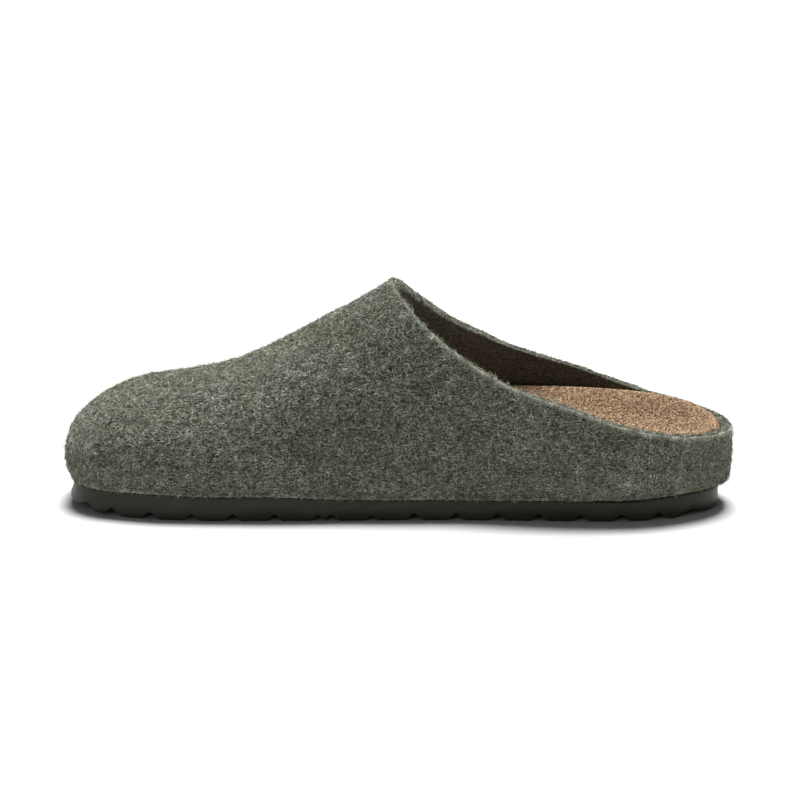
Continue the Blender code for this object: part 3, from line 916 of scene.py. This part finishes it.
# %% [markdown]
# ## Growing strands
#
# The tree goes on a copy of a skin as a modifier. A modifier's inputs are set by each socket's
# identifier, which the tree kept under the input's name. The outcome is turned into a plain mesh and
# the copy is thrown away, so that nothing live is left. Each piece's triangle count is printed
# beside a limit. A piece has to stay under a number of triangles, because past it the export thins
# the piece out.

# %% Grow strands on a skin
PIECE_LIMIT = 200_000


def grow(name, skin, **sizes):
    """A plain mesh of strands that grow on a skin."""
    base = new_object(name + "_base", skin.data)
    modifier = base.modifiers.new("strands", "NODES")
    modifier.node_group = strands.tree
    for label, value in sizes.items():
        modifier[strands.ids[label.replace("_", " ")]] = value
    base.update_tag()
    graph = bpy.context.evaluated_depsgraph_get()
    mesh = bpy.data.meshes.new_from_object(
        base.evaluated_get(graph), preserve_all_data_layers=True, depsgraph=graph
    )
    mesh.name = name
    bpy.data.objects.remove(base)
    thing = new_object(name, mesh)
    triangles = sum(len(face.vertices) - 2 for face in mesh.polygons)
    print(name, "triangles:", triangles, "under the limit:", triangles < PIECE_LIMIT)
    return thing


# %% [markdown]
# ## Colours of the fibres
#
# Wool for felt is mixed from fleeces of several colours, so its hairs run from nearly black green to
# straw. Painting each would be endless. The strand's tone picks its colour from a ramp, and a slow
# noise darkens or lightens whole patches, as the wool lay in clumps before it was pressed.

# %% Fibre materials
FIBRE_PATCHES_PER_METRE = 240.0
FIBRE_ROUGHNESS = 0.9
FIBRE_SHINE = 0.2


def fibre_material(name, *stops):
    """Matt fibres whose colour follows the number that each strand was given."""
    recipe = Recipe(name)
    colour = recipe.ramp(recipe.attribute("tone"), *stops)
    patch = recipe.levels(recipe.noise(FIBRE_PATCHES_PER_METRE, detail=2.0), 0.30, 0.70, 0.55, 1.35)
    shade = recipe.add("ShaderNodeCombineColor", [("Red", patch), ("Green", patch), ("Blue", patch)])
    colour = recipe.mix(1.0, colour, shade.outputs[0], "MULTIPLY")
    recipe.links.new(colour, recipe.shader.inputs["Base Color"])
    recipe.shader.inputs["Roughness"].default_value = FIBRE_ROUGHNESS
    recipe.shader.inputs["Specular IOR Level"].default_value = FIBRE_SHINE
    return recipe.material


wool_fibre = fibre_material(
    "wool_fibre",
    (0.00, (0.006, 0.008, 0.004)),
    (0.32, (0.070, 0.080, 0.052)),
    (0.62, (0.270, 0.288, 0.225)),
    (0.88, (0.560, 0.580, 0.500)),
    (1.00, (0.820, 0.830, 0.760)),
)
edge_fibre = fibre_material(
    "edge_fibre", (0.0, (0.090, 0.096, 0.060)), (0.6, (0.300, 0.310, 0.215)), (1.0, (0.68, 0.69, 0.56))
)
# painted highlight: pale hairs for the collar's outer edge, where fibres catch the light
collar_highlight_hair = fibre_material(
    "collar_highlight_hair", (0.0, (0.22, 0.23, 0.17)), (0.5, (0.48, 0.49, 0.39)), (1.0, (0.80, 0.80, 0.68))
)
print("fibres for felt:", [made.name for made in (wool_fibre, edge_fibre, collar_highlight_hair)])

# %% [markdown]
# ## Hairs of the felt
#
# Two layers of nap lie nearly flat and make the felt's matted surface. A fuzz of longer hairs stands
# up and softens the outline against the light. Along the collar's outer edge stand short, dense hairs
# painted pale as a highlight, and the hem has long ones that reach over the sole's edge. All five
# are one call each, and differ only in what the tree's inputs say.

# %% Nap, fuzz, collar and hem
felt_pieces = [
    grow("felt_nap_a", felt, Zone="nap", Strands_per_square_metre=6.4e5, Length=0.0024,
         Radius=0.00008, Lift=0.25, Rise=0.00008, Seed=11, Finish=wool_fibre),
    grow("felt_nap_b", felt, Zone="nap", Strands_per_square_metre=6.4e5, Length=0.0017,
         Radius=0.00009, Lift=0.45, Rise=0.00008, Seed=12, Finish=wool_fibre),
    grow("felt_fuzz", felt, Zone="nap", Strands_per_square_metre=6.4e5, Length=0.0038,
         Radius=0.00007, Lift=1.30, Rise=0.0007, Seed=13, Finish=edge_fibre),
    # painted highlight: dense pale hairs along the collar's outer edge
    grow("collar_highlight_fibres", felt, Zone="collar_line", Strands_per_square_metre=3.0e7, Length=0.0009,
         Radius=0.00008, Lift=0.35, Rise=0.0001, Seed=14, Finish=collar_highlight_hair),
    grow("hem_fibres", felt, Zone="hem_edge", Strands_per_square_metre=3.0e6, Length=0.0030,
         Radius=0.00007, Lift=1.00, Rise=0.0004, Seed=15, Finish=edge_fibre),
]

# %% [markdown]
# ## Suede footbed
#
# Suede is leather with its fibres brushed up. From close by it is a coarse nap: pale tufts with dark
# pits between them. A foot's weight hasn't pressed it yet, so only the moulded contours show. A copy
# of the CAD footbed keeps those contours and gets small bumps, the material paints tufts and pits
# at two sizes, and short strands from the same tree stand up on it.

# %% Footbed surface
BED_LUMPS = (
    # size of a lump, height, seed
    (0.0160, 0.00022, 21),
    (0.0050, 0.00012, 22),
    (0.0021, 0.00010, 23),
)
NAP_FROM = 0.15
NAP_FULL = 0.35

bed_points, bed_normals = read_points(bed.data), read_normals(bed.data)
bed_top = soft_step(bed_normals[:, 2], NAP_FROM, NAP_FULL)
bed_swell = np.zeros(len(bed_points))
for size, height, seed in BED_LUMPS:
    bed_swell += height * lumps(bed_points, size, seed)
bed_points += bed_normals * (bed_swell * bed_top)[:, None]
write_points(bed.data, bed_points)
store(bed.data, "nap", bed_top)
print("footbed moved by up to, mm:", round(float(np.abs(bed_swell * bed_top).max() * 1000), 2))

# %% Suede material
TUFTS_PER_METRE = 1250.0
CRUMBS_PER_METRE = 2500.0
RUBBED_PER_METRE = 85.0
TUFT_SHARE = 0.72
CRUMB_SHARE = 0.28
SUEDE_TONES = (
    (0.38, (0.052, 0.026, 0.014)),
    (0.44, (0.235, 0.141, 0.081)),
    (0.52, (0.465, 0.306, 0.190)),
    (0.63, (0.800, 0.612, 0.430)),
)
RUBBED_SHADES = ((0.32, (0.86, 0.85, 0.84)), (0.68, (1.08, 1.07, 1.05)))
TUFT_HEIGHT = 0.0012


def suede_material():
    """Pale tufts over dark pits, in slow patches where the nap was rubbed."""
    recipe = Recipe("tan_suede")
    tufts = recipe.noise(TUFTS_PER_METRE, detail=3.0, roughness=0.62, distortion=0.6)
    crumbs = recipe.noise(CRUMBS_PER_METRE, detail=2.0, roughness=0.6)
    patch = recipe.noise(RUBBED_PER_METRE, detail=3.0, roughness=0.6)
    coarse = recipe.math("MULTIPLY", tufts, TUFT_SHARE)
    nap = recipe.math("ADD", coarse, recipe.math("MULTIPLY", crumbs, CRUMB_SHARE))
    colour = recipe.ramp(nap, *SUEDE_TONES)
    shade = recipe.ramp(patch, *RUBBED_SHADES)
    colour = recipe.mix(1.0, colour, shade, "MULTIPLY")
    normal = recipe.bump(nap, TUFT_HEIGHT, 0.85)
    return recipe.finish(
        colour, normal, 0.92, Specular_IOR_Level=0.10, Sheen_Weight=0.15, Sheen_Roughness=0.5,
        Sheen_Tint=(0.90, 0.72, 0.55, 1.0),
    )


dress(bed, suede_material())

# %% Suede nap
suede_fibre = fibre_material(
    "suede_fibre",
    (0.0, (0.080, 0.048, 0.030)),
    (0.4, (0.330, 0.215, 0.132)),
    (0.8, (0.600, 0.430, 0.285)),
    (1.0, (0.850, 0.680, 0.510)),
)
bed_pieces = [
    grow("suede_nap", bed, Zone="nap", Strands_per_square_metre=1.2e6, Length=0.0011,
         Radius=0.00008, Lift=0.45, Rise=0.0001, Seed=31, Finish=suede_fibre),
]

# %% [markdown]
# ## Foam outsole
#
# The outsole is one block of moulded foam: dark green, nearly smooth, with a dull shine and a
# few scuffs. Its notches and lugs are in the CAD model already, so the copy only gets its
# edges rounded by a small bevel, which catches the light as a moulded edge does. Underneath, the
# lugs carry a fine tread of crossed ribs, which two wave textures give to the bump.

# %% Foam material
TREAD_TURNS = (math.radians(45), math.radians(-45))
TREAD_WAVES = 125.0
TREAD_DEPTH = 0.0005
FOAM_CLOUDS_PER_METRE = 45.0
FOAM_PORES_PER_METRE = 900.0
SCUFF_STRETCH = (60.0, 700.0, 900.0)
SCUFFED_FOAM = (0.058, 0.066, 0.045)
SCUFF_LEVELS = (0.60, 0.80)
SCUFF_SHARE = 0.25
FOAM_TONES = ((0.3, (0.0215, 0.0272, 0.0165)), (0.7, (0.0295, 0.0362, 0.0225)))
FOAM_ROUGHNESS = (0.45, 0.70)
PORE_DEPTH = 0.00018


def foam_material():
    """Dark moulded foam with fine pores, long scuffs and a crossed tread underneath."""
    recipe = Recipe("green_foam")
    cloud = recipe.noise(FOAM_CLOUDS_PER_METRE, detail=2.0)
    skin = recipe.noise(FOAM_PORES_PER_METRE, detail=2.0, roughness=0.5)
    scuff_place = recipe.turned((0.0, 0.05, 0.0), SCUFF_STRETCH)
    scuff = recipe.levels(recipe.noise(1.0, detail=2.0, place=scuff_place), *SCUFF_LEVELS)
    colour = recipe.ramp(cloud, *FOAM_TONES)
    colour = recipe.mix(recipe.math("MULTIPLY", scuff, SCUFF_SHARE), colour, SCUFFED_FOAM)
    roughness = recipe.levels(scuff, 0.0, 1.0, *FOAM_ROUGHNESS)
    normal = recipe.bump(skin, PORE_DEPTH, 0.35)
    ribs = recipe.attribute("tread")
    for turn in TREAD_TURNS:
        place = recipe.turned((0.0, 0.0, turn), (1.0, 1.0, 1.0))
        wave = recipe.add("ShaderNodeTexWave", [("Vector", place), ("Scale", TREAD_WAVES)])
        ribs = recipe.math("MULTIPLY", ribs, wave.outputs["Fac"])
    normal = recipe.bump(ribs, TREAD_DEPTH, 0.9, under=normal)
    return recipe.finish(colour, normal, roughness, Specular_IOR_Level=0.22)


foam = foam_material()
print("foam tread:", len(TREAD_TURNS), "sets of ribs, mm deep:", TREAD_DEPTH * 1000)

# %% Outsole
FOAM_BEVEL = 0.00035
FLAT = math.radians(0.5)
BEVEL_FROM = math.radians(30)
SHARP_FROM = math.radians(40)
TREAD_FROM = 0.7
TREAD_FULL = 0.95


def bevelled_copy(node, name, width):
    """A copy of a CAD node's mesh with its corners rounded and its flats left flat."""
    mesh = merged_node(node)
    bmesh.ops.dissolve_limit(
        mesh, angle_limit=FLAT, verts=mesh.verts, edges=mesh.edges, delimit={"NORMAL"}
    )
    thing = object_from(mesh, name)
    bevel = thing.modifiers.new("bevel", "BEVEL")
    bevel.width = width
    bevel.segments = 2
    bevel.limit_method = "ANGLE"
    bevel.angle_limit = BEVEL_FROM
    bake(thing)
    thing.data.set_sharp_from_angle(angle=SHARP_FROM)
    return thing


sole = bevelled_copy("outsole", "foam_outsole", FOAM_BEVEL)
store(sole.data, "tread", soft_step(-read_normals(sole.data)[:, 2], TREAD_FROM, TREAD_FULL))
dress(sole, foam)

# %% [markdown]
# ## On one body
#
# Every piece rides on the shoe's one body. The three skins stand in for their CAD solids, which stay
# behind them, hidden.

# %% Bodies, and the CAD solids hidden
for thing in (felt, *felt_pieces, bed, *bed_pieces, sole):
    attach(thing, "root")
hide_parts("upper")
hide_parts("footbed")
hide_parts("outsole")
